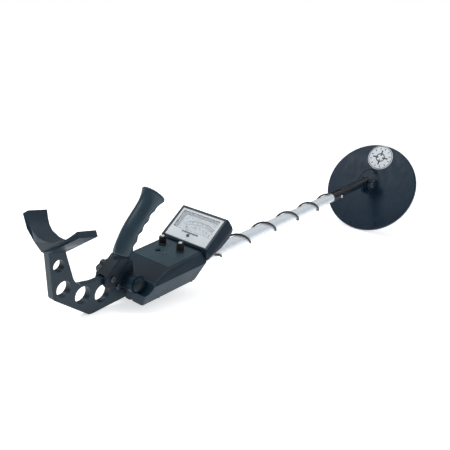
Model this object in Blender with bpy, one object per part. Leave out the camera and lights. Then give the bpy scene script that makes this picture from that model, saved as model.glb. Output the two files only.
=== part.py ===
"""Hand-held metal detector, standing on the rim of its search coil and the foot of its armrest.

Everything is modelled along the shaft: X runs along the tube towards the coil, Y is the
user's left and Z is up from the tube, with the tube's axis at Y = Z = 0. Lengths below are
millimetres; the builders turn them into metres. One empty then tips the whole assembly
onto its two feet, with the origin under the middle of its bounding box.
"""

import bmesh
import bpy
from math import atan2, cos, degrees, pi, radians, sin
from mathutils import Matrix, Vector

MM = 0.001
GAP = 0.3                      # clearance between touching pieces

# How the detector stands
STANDING_TILT = 7.74           # degrees from the floor up to the tube
ORIGIN_X = -26.52                # the origin's place along the floor, from under the tube's datum
FLOOR_DEPTH = 57.30             # from the datum down to the floor

# Shaft
TUBE_RADIUS = 9.5
TUBE_BORE = 8.6
TUBE_BACK = -300.0
TUBE_FRONT = 256.0
STEM_RADIUS = 8.2
STEM_BACK = 130.0
STEM_FRONT = 414.0
STEM_FLAT = 7.0                # half thickness of the stem's flattened end
COLLAR_RADIUS = 10.8
COLLAR_BACK = 250.0
COLLAR_FRONT = 296.0
LOCK_X = 281.0
LOCK_RADIUS = 3.0
LOCK_TRAVEL = 2.2

# Search coil
COIL_RADIUS = 105.6
COIL_TOP_CENTRE = (463.8, -17.8)
COIL_TILT = 61.7               # degrees from the tube's axis to the coil's plane
COIL_SHELL = 9.0
COIL_COVER = 2.2
COIL_WALL = 2.2
TILT_AXIS = (435.0, -1.0)
EAR_RADIUS = 10.0
EAR_INNER = 8.2
EAR_THICKNESS = 5.0
LABEL_RADIUS = 29.6
LABEL_UP = 74.4                # from the coil's centre up its face to the label's centre
GLAND_UP = 38.0

# Coil cable
CABLE_RADIUS = 1.7
WIND_PITCH = 79.5
WIND_FIRST = (-141.0, 200.0)     # the first whole turn: place along the tube, degrees round it
WIND_LAST = (232.0, 90.0)

# Control box
SEAM_Z = 20.4
SEAM_HALF = 43.5
SEAM_BACK = -336.0
SEAM_FRONT = -217.0
FLOOR_Z = -4.5
FLOOR_HALF = 36.0
FLOOR_BACK = -334.0
FLOOR_FRONT = -232.0
SHELL_WALL = 2.4
BLOCK_FRONT = -317.0            # the solid rear block that carries the lugs ends here
KEEL_RADIUS = 12.6
KEEL_BORE = TUBE_RADIUS + GAP
PANEL_BACK = (-287.0, 30.8)
PANEL_FRONT = (-219.0, 34.2)
PANEL_HALF = 35.7

# Meter, on its own sloping plane: "up" runs up the face from its near edge
METER_NEAR = (-216.0, 38.5)
METER_SLOPE = 37.0
METER_LENGTH = 50.0
METER_HALF = 37.4
HOOD_HALF = 47.0
HOOD_RIM = 4.9                 # the hood beyond the meter, at the sides and top
WINDOW_LOW = 17.0
WINDOW_HIGH = 46.0
WINDOW_HALF = 32.8
NEEDLE_PIVOT_UP = 7.0
NEEDLE_LENGTH = 31.0
NEEDLE_REST = 43.0             # degrees left of straight up

# Panel controls
KNOB_X = -239.0
LEFT_KNOB_Y = 20.5
RIGHT_KNOB_Y = -12.5
KNOB_RADIUS = 5.3
KNOB_HEIGHT = 13.0

# Handle and armrest
CLAMP_AXIS = (-332.0, 22.0)
LUG_RADIUS = 12.0
LUG_INNER = 18.8
LUG_OUTER = 25.4
KNUCKLE_HALF = 18.4
BOLT_RADIUS = 3.0
PLATE_HALF = 4.5
CHEEK_HALF = 9.5
CHEEK_LOBE = (-361.0, 30.5)
CHEEK_LOBE_RADIUS = 9.5
CHEEK_SCREWS = [(-358.5, 32.5), (-349.5, 19.5)]
GRIP_LINE = [(-336.0, 54.5), (-331.0, 65.5), (-320.0, 82.5), (-302.0, 101.5), (-283.6, 120.4)]
GRIP_RADIUS = 12.0
FLANGE_RADIUS = 16.6
POST_RADIUS = 4.5


def clear_scene():
    for obj in list(bpy.data.objects):
        bpy.data.objects.remove(obj)


def material(name, colour, roughness, metallic=0.0):
    """The named Principled material, made once."""
    found = bpy.data.materials.get(name)
    if found:
        return found
    made = bpy.data.materials.new(name)
    made.use_nodes = True
    shader = made.node_tree.nodes["Principled BSDF"]
    shader.inputs["Base Color"].default_value = (*colour, 1.0)
    shader.inputs["Roughness"].default_value = roughness
    shader.inputs["Metallic"].default_value = metallic
    made.diffuse_color = (*colour, 1.0)
    return made


def black_plastic():
    return material("black_plastic", (0.035, 0.045, 0.055), 0.35)


def soft_black():
    return material("soft_black", (0.03, 0.037, 0.042), 0.6)


def white_plastic():
    return material("white_plastic", (0.82, 0.83, 0.84), 0.35)


def white_enamel():
    return material("white_enamel", (0.86, 0.87, 0.88), 0.25)


def bright_steel():
    return material("bright_steel", (0.62, 0.63, 0.64), 0.25, 1.0)


def clear_plastic():
    return material("clear_plastic", (0.9, 0.92, 0.94), 0.05)


def copper():
    return material("copper_wire", (0.72, 0.36, 0.18), 0.35, 1.0)


def board_green():
    return material("board_green", (0.03, 0.18, 0.09), 0.45)


# Builders of closed meshes, in millimetres


def hull(points):
    bm = bmesh.new()
    verts = [bm.verts.new(p) for p in points]
    result = bmesh.ops.convex_hull(bm, input=verts)
    spare = {v for v in result["geom_unused"] + result["geom_interior"] if isinstance(v, bmesh.types.BMVert)}
    bmesh.ops.delete(bm, geom=list(spare), context="VERTS")
    flat = radians(0.5)
    bmesh.ops.dissolve_limit(bm, angle_limit=flat, verts=bm.verts, edges=bm.edges)
    return bm


def mirrored(points):
    """The points and their copies across the shaft's plane of symmetry."""
    return [(x, side * y, z) for x, y, z in points for side in (1, -1)]


def box(low, high):
    corners = [(x, y, z) for x in (low[0], high[0]) for y in (low[1], high[1]) for z in (low[2], high[2])]
    return hull(corners)


def prism(outline, y_low, y_high):
    """An outline of (x, z) points, in order, pulled out along Y."""
    bm = bmesh.new()
    face = bm.faces.new([bm.verts.new((x, y_low, z)) for x, z in outline])
    moved = bmesh.ops.extrude_face_region(bm, geom=[face])
    fresh = [v for v in moved["geom"] if isinstance(v, bmesh.types.BMVert)]
    bmesh.ops.translate(bm, verts=fresh, vec=(0, y_high - y_low, 0))
    bmesh.ops.recalc_face_normals(bm, faces=bm.faces)
    return bm


def loft(rings):
    """Rings of points with equal counts, joined in order and capped at both ends."""
    bm = bmesh.new()
    rows = [[bm.verts.new(p) for p in ring] for ring in rings]
    count = len(rows[0])
    for near, far in zip(rows, rows[1:]):
        for i in range(count):
            j = (i + 1) % count
            bm.faces.new((near[i], near[j], far[j], far[i]))
    bm.faces.new(rows[0][::-1])
    bm.faces.new(rows[-1])
    bmesh.ops.recalc_face_normals(bm, faces=bm.faces)
    return bm


def turned(profile, start, direction, segments=32):
    """A closed solid turned round the line from start along direction.

    The profile is (distance along the line, radius) pairs. A profile that starts and ends
    at radius 0 closes on the axis; any other is taken as a closed loop round a bore.
    """
    axis = Vector(direction).normalized()
    side = axis.orthogonal().normalized()
    across = axis.cross(side)
    origin = Vector(start)
    bm = bmesh.new()
    rows = []
    for along, radius in profile:
        centre = origin + axis * along
        if radius == 0:
            rows.append([bm.verts.new(centre)])
            continue
        row = []
        for i in range(segments):
            a = 2 * pi * (i + 0.5) / segments
            row.append(bm.verts.new(centre + side * (radius * cos(a)) + across * (radius * sin(a))))
        rows.append(row)
    pairs = list(zip(rows, rows[1:]))
    if len(rows[0]) > 1:
        pairs.append((rows[-1], rows[0]))
    for near, far in pairs:
        for i in range(segments):
            j = (i + 1) % segments
            if len(near) == 1 and len(far) == 1:
                continue
            if len(near) == 1:
                bm.faces.new((near[0], far[j], far[i]))
            elif len(far) == 1:
                bm.faces.new((near[i], near[j], far[0]))
            else:
                bm.faces.new((near[i], near[j], far[j], far[i]))
    bmesh.ops.recalc_face_normals(bm, faces=bm.faces)
    return bm


def rod(start, end, radius, segments=24):
    run = Vector(end) - Vector(start)
    profile = [(0, 0), (0, radius), (run.length, radius), (run.length, 0)]
    return turned(profile, start, run, segments)


def merged(*meshes):
    """Several closed meshes that stay clear of each other, as one."""
    whole = bmesh.new()
    for bm in meshes:
        scratch = bpy.data.meshes.new("scratch")
        bm.to_mesh(scratch)
        whole.from_mesh(scratch)
        bpy.data.meshes.remove(scratch)
        bm.free()
    return whole


def rounded(bm, width, segments=2, keep=None, sharper_than=25):
    """Bevels each edge whose faces meet at more than a given angle, except where keep(edge) is true."""
    edges = [e for e in bm.edges if e.is_manifold and degrees(e.calc_face_angle(0)) > sharper_than]
    if keep:
        edges = [e for e in edges if not keep(e)]
    bmesh.ops.bevel(
        bm, geom=edges, offset=width, segments=segments, profile=0.5, affect="EDGES", clamp_overlap=True
    )
    return bm


def put(name, bm, look, parent, pivot=(0, 0, 0), smooth=30):
    """Makes the object, with its origin on pivot, hung on parent."""
    px, py, pz = pivot
    bmesh.ops.translate(bm, verts=bm.verts, vec=(-px, -py, -pz))
    bmesh.ops.scale(bm, verts=bm.verts, vec=(MM, MM, MM))
    mesh = bpy.data.meshes.new(name)
    bm.to_mesh(mesh)
    bm.free()
    mesh.shade_smooth()
    mesh.set_sharp_from_angle(angle=radians(smooth))
    if look:
        mesh.materials.append(look)
    obj = bpy.data.objects.new(name, mesh)
    bpy.context.collection.objects.link(obj)
    obj.parent = parent
    obj.location = Vector(pivot) * MM
    return obj


def boolean(obj, bm, operation):
    """Cuts, joins or keeps what obj shares with a hidden mesh given in shaft millimetres."""
    tool = put(f"{obj.name}_{operation.lower()}_{len(obj.modifiers)}", bm, None, obj.parent)
    tool.hide_render = True
    tool.display_type = "WIRE"
    step = obj.modifiers.new(operation.title(), "BOOLEAN")
    step.object = tool
    step.operation = operation
    step.solver = "EXACT"
    return obj


def cut(obj, bm):
    return boolean(obj, bm, "DIFFERENCE")


def join(obj, bm):
    return boolean(obj, bm, "UNION")


def arc(centre, radius, start, end, steps):
    """Points (x, z) on an arc, angles in degrees from +X towards +Z."""
    points = []
    for i in range(steps + 1):
        a = radians(start + (end - start) * i / steps)
        points.append((centre[0] + radius * cos(a), centre[1] + radius * sin(a)))
    return points


def circle(centre, radius, steps):
    return arc(centre, radius, 0, 360 * (steps - 1) / steps, steps - 1)


# Places on the tilted planes


def on_meter(up, y, out=0.0):
    """A point on the meter's face: up from its near edge, across, and out from the face."""
    a = radians(METER_SLOPE)
    x = METER_NEAR[0] + up * cos(a) - out * sin(a)
    z = METER_NEAR[1] + up * sin(a) + out * cos(a)
    return (x, y, z)


def on_coil(up, y, out=0.0):
    """A point on the coil's upper face: up from its centre, across, and out from the face."""
    a = radians(COIL_TILT)
    x = COIL_TOP_CENTRE[0] + up * cos(a) - out * sin(a)
    z = COIL_TOP_CENTRE[1] + up * sin(a) + out * cos(a)
    return (x, y, z)


def panel_z(x):
    run = (x - PANEL_BACK[0]) / (PANEL_FRONT[0] - PANEL_BACK[0])
    return PANEL_BACK[1] + run * (PANEL_FRONT[1] - PANEL_BACK[1])


def panel_normal():
    slope = atan2(PANEL_FRONT[1] - PANEL_BACK[1], PANEL_FRONT[0] - PANEL_BACK[0])
    return Vector((-sin(slope), 0, cos(slope)))


def meter_normal():
    return Vector(on_meter(0, 0, 1)) - Vector(on_meter(0, 0, 0))


def coil_normal():
    return Vector(on_coil(0, 0, 1)) - Vector(on_coil(0, 0, 0))


def meter_box(up, half, out):
    """A box lying on the meter's plane; up and out are (low, high) pairs."""
    return hull([on_meter(u, y, o) for u in up for y in (-half, half) for o in out])


# Control box


def rear_slope(x):
    """Half width and height of the box where its top slopes down behind the panel."""
    run = (x - SEAM_BACK) / (PANEL_BACK[0] - SEAM_BACK)
    half = SEAM_HALF + run * (PANEL_HALF - SEAM_HALF)
    return half, SEAM_Z + run * (PANEL_BACK[1] - SEAM_Z)


def lower_body():
    return hull(mirrored([
        (SEAM_BACK, SEAM_HALF, SEAM_Z - GAP / 2),
        (SEAM_FRONT, SEAM_HALF, SEAM_Z - GAP / 2),
        (FLOOR_BACK, FLOOR_HALF, FLOOR_Z),
        (FLOOR_FRONT, FLOOR_HALF, FLOOR_Z),
    ]))


def lower_hollow():
    """The space inside the lower shell, open upwards and in front of the rear block."""
    top = SEAM_Z + 1.0
    low = FLOOR_Z + SHELL_WALL
    seam_half = SEAM_HALF - SHELL_WALL
    return hull(mirrored([
        (BLOCK_FRONT + SHELL_WALL, seam_half, top),
        (SEAM_FRONT - SHELL_WALL, seam_half, top),
        (BLOCK_FRONT + SHELL_WALL, FLOOR_HALF - SHELL_WALL, low),
        (FLOOR_FRONT - 1.6 * SHELL_WALL, FLOOR_HALF - SHELL_WALL, low),
    ]))


def rear_block():
    half, top = rear_slope(BLOCK_FRONT)
    return hull(mirrored([
        (SEAM_BACK + 1.0, FLOOR_HALF, SEAM_Z - 3.0),
        (BLOCK_FRONT, FLOOR_HALF, SEAM_Z - 3.0),
        (SEAM_BACK + 1.0, SEAM_HALF - 1.0, SEAM_Z),
        (BLOCK_FRONT, SEAM_HALF - 0.2, SEAM_Z),
        (BLOCK_FRONT, half, top),
    ]))


def panel_body():
    back = BLOCK_FRONT + GAP
    half, top = rear_slope(back)
    seam = SEAM_Z + GAP / 2
    return hull(mirrored([
        (back, SEAM_HALF, seam),
        (SEAM_FRONT, SEAM_HALF, seam),
        (back, half, top),
        (PANEL_BACK[0], PANEL_HALF, PANEL_BACK[1]),
        (PANEL_FRONT[0], PANEL_HALF, PANEL_FRONT[1]),
    ]))


def panel_hollow():
    back = BLOCK_FRONT + SHELL_WALL
    half, top = rear_slope(back)
    seam = SEAM_Z - 1.0
    return hull(mirrored([
        (back, SEAM_HALF - SHELL_WALL, seam),
        (SEAM_FRONT - SHELL_WALL, SEAM_HALF - SHELL_WALL, seam),
        (back, half - 1.6, top - SHELL_WALL),
        (PANEL_BACK[0], PANEL_HALF - 1.6, PANEL_BACK[1] - SHELL_WALL),
        (PANEL_FRONT[0], PANEL_HALF - 1.6, PANEL_FRONT[1] - SHELL_WALL),
    ]))


def meter_hood(inset):
    """The wedge that holds the meter, wider at its belt than at its face."""
    face = METER_HALF + HOOD_RIM - inset
    belt = HOOD_HALF - inset
    near = on_meter(-1.2, 0, -inset)
    far = on_meter(METER_LENGTH + HOOD_RIM - inset, 0, -inset)
    points = [
        (near[0] - 1.5 + 1.5 * min(inset, 1.0), face, near[2]),
        (far[0], face, far[2]),
        (SEAM_FRONT + 3, belt, 29.0),
        (-190.0 - 0.6 * inset, belt, 35.0 + 0.8 * inset),
        (-172.5 - 0.7 * inset, belt, 45.0 + 0.7 * inset),
        (-165.5 - inset, belt, 54.5),
        (-168.0 - inset, belt, 61.0 - 0.6 * inset),
        (SEAM_FRONT - 2.0 + 1.5 * inset, SEAM_HALF - 0.5 - inset, SEAM_Z + 1.0 + 0.8 * inset),
        (-196.0, SEAM_HALF - 4 - inset, 27.5 + inset),
    ]
    return hull(mirrored(points))


def knob_bores(radius):
    normal = panel_normal()
    bores = []
    for y in (LEFT_KNOB_Y, RIGHT_KNOB_Y):
        foot = Vector((KNOB_X, y, panel_z(KNOB_X)))
        bores.append(rod(foot - normal * 6, foot + normal * 2, radius, 16))
    return merged(*bores)


BUTTON_PLACE = (-256.5, 12.5)
LAMP_PLACE = (-258.5, -2.0)


def build_upper_shell(parent):
    def on_seam_or_block(edge):
        low = all(v.co.z < SEAM_Z + 1 for v in edge.verts)
        return low or all(v.co.x < BLOCK_FRONT + 1 for v in edge.verts)

    body = rounded(panel_body(), 1.4, 2, keep=on_seam_or_block, sharper_than=8)
    shell = put("upper_shell", body, black_plastic(), parent)
    join(shell, rounded(meter_hood(0), 1.8, 2, sharper_than=30))
    cut(shell, panel_hollow())
    cut(shell, meter_hood(SHELL_WALL))
    pocket = meter_box((-GAP, METER_LENGTH + GAP), METER_HALF + GAP, (-3.6, 4))
    cut(shell, pocket)
    cut(shell, knob_bores(3.9))
    normal = panel_normal()
    for (x, y), radius in ((BUTTON_PLACE, 3.6), (LAMP_PLACE, 2.3)):
        foot = Vector((x, y, panel_z(x)))
        cut(shell, rod(foot - normal * 6, foot + normal * 2, radius, 16))
    return shell


DOOR_X = (-299.0, -246.0)
DOOR_Z = (1.0, 16.5)
SOCKET_PLACE = (-236.5, 9.0)
SOUNDER_PLACE = (-262.0, -23.5)
GLAND_PLACE = (6.0, 14.2)       # (y, z) of the cable's hole in the front wall
TUBE_SCREWS = [-285.0, -245.0]
SHELL_SCREWS = [(-303.0, 33.4), (-303.0, -33.4), (-238.5, 33.6), (-238.5, -33.6)]
SHELL_SCREW_HEAD = 2.6


def front_wall_x(z):
    run = (z - FLOOR_Z) / (SEAM_Z - FLOOR_Z)
    return FLOOR_FRONT + run * (SEAM_FRONT - FLOOR_FRONT)


def build_lower_shell(parent):
    def on_seam(edge):
        return all(v.co.z > SEAM_Z - 1 for v in edge.verts)

    body = rounded(lower_body(), 2.4, 2, keep=on_seam)
    shell = put("lower_shell", body, black_plastic(), parent)
    join(shell, rear_block())
    join(shell, rod((-323.0, 0, 0), (front_wall_x(-4) - 1.0, 0, 0), KEEL_RADIUS, 24))
    axis_x, axis_z = CLAMP_AXIS
    for side in (1, -1):
        scoop = 11.2 if side < 0 else 15.6
        cut(shell, rod((axis_x, side * (LUG_OUTER - 0.5), axis_z), (axis_x, side * 60, axis_z), scoop, 28))
        root = [(-325.0, 4.0), (-323.0, 12.0)]
        lug = circle(CLAMP_AXIS, LUG_RADIUS, 24) + root
        ends = (side * (LUG_INNER - 2), side * LUG_OUTER)
        join(shell, hull([(x, y, z) for x, z in lug for y in ends]))
    notch = [(-360, 50), (-360, -20), (-325.5, -20)]
    notch += arc(CLAMP_AXIS, LUG_RADIUS + 0.6, -59, 59, 10) + [(-325.5, 50)]
    cut(shell, prism(notch, -LUG_INNER, LUG_INNER))
    cut(shell, lower_hollow())
    cut(shell, rod((TUBE_BACK - 4.0, 0, 0), (-200, 0, 0), KEEL_BORE, 24))
    cut(shell, rod((axis_x, -30, axis_z), (axis_x, 30, axis_z), 3.3, 12))
    door = box((DOOR_X[0], 30, DOOR_Z[0]), (DOOR_X[1], 50, DOOR_Z[1]))
    cut(shell, door)
    x, z = SOCKET_PLACE
    cut(shell, rod((x, 32, z), (x, 50, z), 3.8, 16))
    y, z = GLAND_PLACE
    cut(shell, rod((-230, y, z), (-205, y, z), 3.3, 16))
    x, y = SOUNDER_PLACE
    holes = [(x, y), (x + 5, y), (x - 5, y), (x, y + 5), (x, y - 5)]
    cut(shell, merged(*[rod((a, b, -8), (a, b, 0), 1.3, 8) for a, b in holes]))
    screws = [rod((x, y, -8), (x, y, 5), 1.9, 10) for x, y in SHELL_SCREWS]
    cut(shell, merged(*screws))
    sinks = [rod((x, y, -8), (x, y, FLOOR_Z + 1.4), SHELL_SCREW_HEAD + GAP, 16) for x, y in SHELL_SCREWS]
    cut(shell, merged(*sinks))
    tube_holes = [rod((x, 0, -16), (x, 0, -8), 1.9, 12) for x in TUBE_SCREWS]
    cut(shell, merged(*tube_holes))
    return shell


def screw(place, direction, head_radius, head_height, shank_radius, length):
    profile = [
        (0, 0), (0, head_radius * 0.8), (head_height * 0.5, head_radius), (head_height, head_radius),
        (head_height, shank_radius), (head_height + length, shank_radius), (head_height + length, 0),
    ]
    return turned(profile, place, direction, 8)


def build_box_fasteners(parent):
    for i, (x, y) in enumerate(SHELL_SCREWS, 1):
        fixing = screw((x, y, FLOOR_Z - 0.3), (0, 0, 1), SHELL_SCREW_HEAD, 1.4, 1.5, 6.6)
        put(f"shell_screw_{i}", fixing, bright_steel(), parent)
    for i, x in enumerate(TUBE_SCREWS, 1):
        fixing = screw((x, 0, -KEEL_RADIUS - 2.1), (0, 0, 1), 3.2, 1.8, 1.5, 4.9)
        put(f"tube_screw_{i}", fixing, bright_steel(), parent)


def build_battery(parent, door_parent):
    cover = put("battery_cover", lower_body(), black_plastic(), door_parent)
    cut(cover, lower_hollow())
    low = (DOOR_X[0] + GAP, 30, DOOR_Z[0] + GAP)
    high = (DOOR_X[1] - GAP, 50, DOOR_Z[1] - GAP)
    boolean(cover, box(low, high), "INTERSECT")
    cell = rounded(box((-294.0, 16.4, -1.7), (-245.5, 33.0, 21.9)), 1.5, 2)
    put("battery", cell, material("battery_case", (0.35, 0.36, 0.38), 0.4, 0.6), parent)
    clip = box((-297.6, 17.5, 3.0), (-294.4, 31.5, 21.0))
    put("battery_clip", clip, soft_black(), parent)


def build_electronics(parent):
    board = box((-302.0, -36.0, 12.0), (-236.0, 12.2, 13.6))
    chips = [
        box((-292, -28, 13.0), (-272, -20, 17.2)),
        box((-262, -30, 13.0), (-246, -22, 17.2)),
        box((-290, -10, 13.0), (-280, 2, 20.0)),
        rod((-268, -6, 13.0), (-268, -6, 23.0), 4.0, 12),
        rod((-298, 6, 13.0), (-298, 6, 19.0), 3.0, 12),
    ]
    join(put("circuit_board", board, board_green(), parent), merged(*chips))
    x, y = SOUNDER_PLACE
    floor = FLOOR_Z + SHELL_WALL + GAP
    put("sounder", rod((x, y, floor), (x, y, floor + 5.5), 9.6, 24), soft_black(), parent)
    x, z = SOCKET_PLACE
    profile = [
        (0, 1.9), (0, 3.4), (10.8, 3.4), (10.8, 5.2), (13.2, 5.2), (13.2, 1.9),
    ]
    socket = turned(profile, (x, 31.2, z), (0, 1, 0), 16)
    put("headphone_socket", socket, bright_steel(), parent)


# Meter


def build_meter(parent, needle_parent):
    frame = meter_box((0, METER_LENGTH), METER_HALF, (-3.2, 0.8))
    rim = on_meter(0, 0, 0.5)

    def not_front(edge):
        return any((v.co - Vector(rim)).dot(meter_normal()) < 0 for v in edge.verts)

    plate = put("meter_frame", rounded(frame, 0.7, 2, keep=not_front), white_plastic(), parent)
    window = (WINDOW_LOW - GAP, WINDOW_HIGH + GAP)
    cut(plate, meter_box(window, WINDOW_HALF + GAP, (-5, 3)))
    glass = meter_box((WINDOW_LOW, WINDOW_HIGH), WINDOW_HALF, (-1.0, 0.2))
    put("meter_window", glass, clear_plastic(), parent)
    card = meter_box((3.0, 47.5), 35.0, (-6.2, -5.2))
    dial = put("meter_dial", card, white_plastic(), parent)
    foot = Vector(on_meter(NEEDLE_PIVOT_UP, 0, -7))
    cut(dial, rod(foot, foot + meter_normal() * 3, 2.2, 16))
    case = rounded(meter_box((2.0, 30.0), 22.0, (-15.0, -6.5)), 1.5, 2)
    block = put("meter_movement", case, soft_black(), parent)
    cut(block, rod(foot - meter_normal() * 1.0, foot + meter_normal() * 3, 1.6, 16))

    pivot = on_meter(NEEDLE_PIVOT_UP, 0, -4.4)
    turn = radians(NEEDLE_REST)

    def along(length, side, out):
        up = NEEDLE_PIVOT_UP + length * cos(turn) - side * sin(turn)
        y = length * sin(turn) + side * cos(turn)
        return on_meter(up, y, out)

    blade = [along(l, s, o) for l, s in ((-6, 0.9), (-6, -0.9), (NEEDLE_LENGTH, 0.35), (NEEDLE_LENGTH, -0.35))
             for o in (-4.7, -4.2)]
    needle = put("meter_needle", hull(blade), material("needle_black", (0.02, 0.02, 0.02), 0.5),
                 needle_parent, pivot)
    boss = turned([(0, 0), (0, 1.3), (2.8, 1.3), (2.8, 1.9), (4.2, 1.9), (4.2, 0)],
                  on_meter(NEEDLE_PIVOT_UP, 0, -7.7), meter_normal(), 16)
    join(needle, boss)
    adjust = turned([(0, 0), (0, 2.4), (0.9, 2.2), (0.9, 0)], on_meter(9.0, 0, 1.1), meter_normal(), 20)
    put("zero_screw", adjust, soft_black(), parent)


# Panel controls


def build_knob(side, y, fixed, turning):
    """A potentiometer under the panel, its shaft, and the capped knob pressed on it."""
    normal = panel_normal()
    foot = Vector((KNOB_X, y, panel_z(KNOB_X)))
    below = -SHELL_WALL / normal.z - GAP
    can = turned(
        [(0, 3.3), (0, 8.0), (6.0, 8.0), (6.0, 3.6), (10.6, 3.6), (10.6, 3.3)],
        foot + normal * (below - 6.0), normal, 16,
    )
    put(f"{side}_potentiometer", can, bright_steel(), fixed)
    shaft = rod(foot + normal * (below - 5.0), foot + normal * 9.0, 3.0, 16)
    put(f"{side}_shaft", shaft, bright_steel(), turning, foot)
    knob = turned(
        [(2.6, 3.3), (2.6, KNOB_RADIUS + 0.5), (4.0, KNOB_RADIUS + 0.3), (4.4, KNOB_RADIUS),
         (KNOB_HEIGHT - 1, KNOB_RADIUS - 0.3), (KNOB_HEIGHT, KNOB_RADIUS - 1.0), (KNOB_HEIGHT, 3.3)],
        foot, normal, 20,
    )
    body = put(f"{side}_knob", knob, soft_black(), turning, foot)
    notch = []
    for i in range(8):
        a = 2 * pi * i / 8
        out = Vector((cos(a) * normal.z, sin(a), -cos(a) * normal.x)) * (KNOB_RADIUS + 0.35)
        notch.append(rod(foot + out + normal * 4.8, foot + out + normal * (KNOB_HEIGHT + 2), 0.9, 6))
    cut(body, merged(*notch))
    cap = turned([(0, 0), (0, 2.9), (3.8, 2.9), (3.8, 4.0), (4.6, 3.6), (5.0, 0)],
                 foot + normal * 9.5, normal, 20)
    put(f"{side}_knob_cap", cap, white_plastic(), turning, foot)


def build_button_and_lamp(parent, button_parent):
    normal = panel_normal()
    x, y = BUTTON_PLACE
    foot = Vector((x, y, panel_z(x)))
    press = turned([(-3.2, 0), (-3.2, 3.2), (1.8, 3.2), (2.4, 2.6), (2.4, 0)], foot, normal, 20)
    put("retune_button", press, soft_black(), button_parent, foot)
    below = foot - normal * 5.6
    switch = rounded(box((-3.5, -3.5, -4.2), (3.5, 3.5, 0)), 0.4, 1)
    bmesh.ops.transform(switch, matrix=Matrix.Translation(below), verts=switch.verts)
    put("retune_switch", switch, soft_black(), parent)
    x, y = LAMP_PLACE
    foot = Vector((x, y, panel_z(x)))
    lens = turned([(-5.0, 0), (-5.0, 2.0), (0.4, 2.0), (1.3, 1.4), (1.6, 0)], foot, normal, 16)
    put("power_lamp", lens, material("amber_lens", (0.55, 0.5, 0.42), 0.1), parent)


# Shaft


def build_tube(parent):
    pipe = turned(
        [(TUBE_BACK, TUBE_BORE), (TUBE_BACK, TUBE_RADIUS), (TUBE_FRONT - 0.8, TUBE_RADIUS),
         (TUBE_FRONT, TUBE_RADIUS - 0.5), (TUBE_FRONT, TUBE_BORE)],
        (0, 0, 0), (1, 0, 0), 32,
    )
    tube = put("main_tube", pipe, white_enamel(), parent)
    holes = [rod((x, 0, -11), (x, 0, -6), 1.9, 12) for x in TUBE_SCREWS]
    cut(tube, merged(*holes))
    plug = turned([(0, 0), (0, 9.2), (3.2, 9.2), (3.2, 8.2), (11, 8.2), (11, 0)],
                  (TUBE_BACK - 3.5, 0, 0), (1, 0, 0), 24)
    put("tube_plug", plug, soft_black(), parent)


def build_collar(parent, button_parent):
    bore = STEM_RADIUS + GAP
    step = TUBE_FRONT + GAP
    profile = [
        (COLLAR_BACK, TUBE_RADIUS + GAP), (COLLAR_BACK + 0.8, COLLAR_RADIUS),
        (COLLAR_FRONT - 2.5, COLLAR_RADIUS), (COLLAR_FRONT, COLLAR_RADIUS - 1.6), (COLLAR_FRONT, bore),
        (step, bore), (step, TUBE_RADIUS + GAP),
    ]
    collar = put("stem_collar", turned(profile, (0, 0, 0), (1, 0, 0), 32), soft_black(), parent)
    cut(collar, rod((LOCK_X, -14, 0), (LOCK_X, -6, 0), LOCK_RADIUS + GAP, 16))
    seat = -COLLAR_RADIUS - LOCK_TRAVEL - 0.4
    length = 4.9
    pin = turned([(0, 0), (0, 2.2), (0.8, LOCK_RADIUS), (length, LOCK_RADIUS), (length, 0)],
                 (LOCK_X, seat, 0), (0, 1, 0), 20)
    put("lock_button", pin, bright_steel(), button_parent, (LOCK_X, seat, 0))


def build_stem(parent):
    barrel = turned(
        [(STEM_BACK, 0), (STEM_BACK, STEM_RADIUS - 0.8), (STEM_BACK + 0.8, STEM_RADIUS),
         (STEM_FRONT - 4, STEM_RADIUS), (STEM_FRONT, STEM_RADIUS - 2.0), (STEM_FRONT, 0)],
        (0, 0, 0), (1, 0, 0), 32,
    )
    stem = put("lower_stem", barrel, black_plastic(), parent)
    eye = circle(TILT_AXIS, EAR_RADIUS - 0.6, 24) + [(STEM_FRONT - 12, 7.4), (STEM_FRONT - 12, -7.6)]
    join(stem, hull([(x, y, z) for x, z in eye for y in (-STEM_FLAT, STEM_FLAT)]))
    across = rod((TILT_AXIS[0], -12, TILT_AXIS[1]), (TILT_AXIS[0], 12, TILT_AXIS[1]), 3.3, 16)
    cut(stem, across)


# Search coil


def ear_outline():
    """One ear of the yoke in (up, out) on the coil's face, foot sunk below it."""
    hub = (Vector((TILT_AXIS[0], 0, TILT_AXIS[1])) - Vector(on_coil(0, 0))).dot(coil_normal())
    slope = radians(COIL_TILT)
    up = (TILT_AXIS[0] - COIL_TOP_CENTRE[0]) * cos(slope) + (TILT_AXIS[1] - COIL_TOP_CENTRE[1]) * sin(slope)
    return [(-17, -1), (-17, 3), (19, 3), (19, -1)] + circle((up, hub), EAR_RADIUS, 24)


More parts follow.
